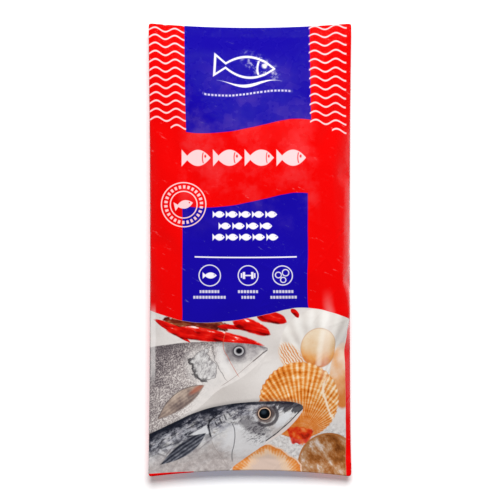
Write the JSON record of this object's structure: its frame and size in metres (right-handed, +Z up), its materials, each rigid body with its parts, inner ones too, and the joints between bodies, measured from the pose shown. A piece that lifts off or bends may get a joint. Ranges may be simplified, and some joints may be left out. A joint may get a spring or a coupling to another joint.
{
  "type": "frozen fish packet",
  "caption": "Sealed pillow packet of glossy printed film round one whole frozen fish, lying flat, with crimped ends and a seam down its back.",
  "frame": {"origin": "middle of the packet's footprint, on the surface that it lies on", "axes": "+X across the packet to the right of the print, +Y along it to the top of the print, +Z up out of the printed front"},
  "size_m": [0.18, 0.402, 0.0329],
  "materials": {
    "front_film": "gloss",
    "back_film": "gloss",
    "seal_film": "gloss",
    "fish_skin": "satin"
  },
  "bodies": {
    "root": {"front_panel": "front_film", "back_panel": "back_film", "fin_seal": "seal_film", "top_end_seal": "seal_film", "bottom_end_seal": "seal_film", "mackerel": "fish_skin"}
  },
  "joints": []
}
